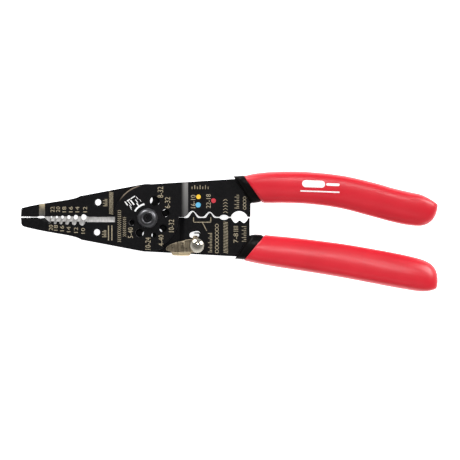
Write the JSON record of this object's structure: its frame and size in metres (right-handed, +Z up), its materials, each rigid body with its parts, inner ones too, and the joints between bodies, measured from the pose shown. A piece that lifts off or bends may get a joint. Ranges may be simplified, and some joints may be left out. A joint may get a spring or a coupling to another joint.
{
  "type": "wire stripper",
  "caption": "Plier-type wire stripper and crimper with two joggled black steel halves, a side latch and long red dipped grips.",
  "frame": {"origin": "on the pivot axis, level with the underside of the pivot bolt's head, where the tool rests", "axes": "+X from the pivot towards the handles, +Y towards the upper jaw, +Z up through the printed front face"},
  "size_m": [0.2101, 0.0605, 0.012],
  "materials": {
    "blade_steel": "black oxide, ground bare on the cutting bevels",
    "pivot_steel": "turned and darkened",
    "spring_steel": "drawn wire",
    "latch_nickel": "warm nickel plate",
    "liner_black": "matt",
    "grip_red": "satin dipped vinyl"
  },
  "bodies": {
    "rear_half": {"rear_blade": "blade_steel", "pivot_bolt": "pivot_steel", "pivot_nut": "pivot_steel", "pivot_washer": "pivot_steel", "return_spring": "spring_steel", "latch_rivet": "latch_nickel", "latch_rivet_burr": "latch_nickel", "latch_spring_washer": "spring_steel", "lower_grip_liner": "liner_black", "lower_grip": "grip_red"},
    "front_half": {"front_blade": "blade_steel", "upper_grip_liner": "liner_black", "upper_grip": "grip_red"},
    "latch": {"latch_lever": "latch_nickel"}
  },
  "joints": [
    {"name": "blade_pivot", "type": "hinge", "parent": "rear_half", "child": "front_half", "pos_m": [0, 0, 0.006], "axis": [0, 0, 1], "range_deg": [0, 27]},
    {"name": "latch_pivot", "type": "hinge", "parent": "rear_half", "child": "latch", "pos_m": [0.0249, -0.0138, 0.00825], "axis": [0, 0, 1], "range_deg": [0, 26]}
  ]
}
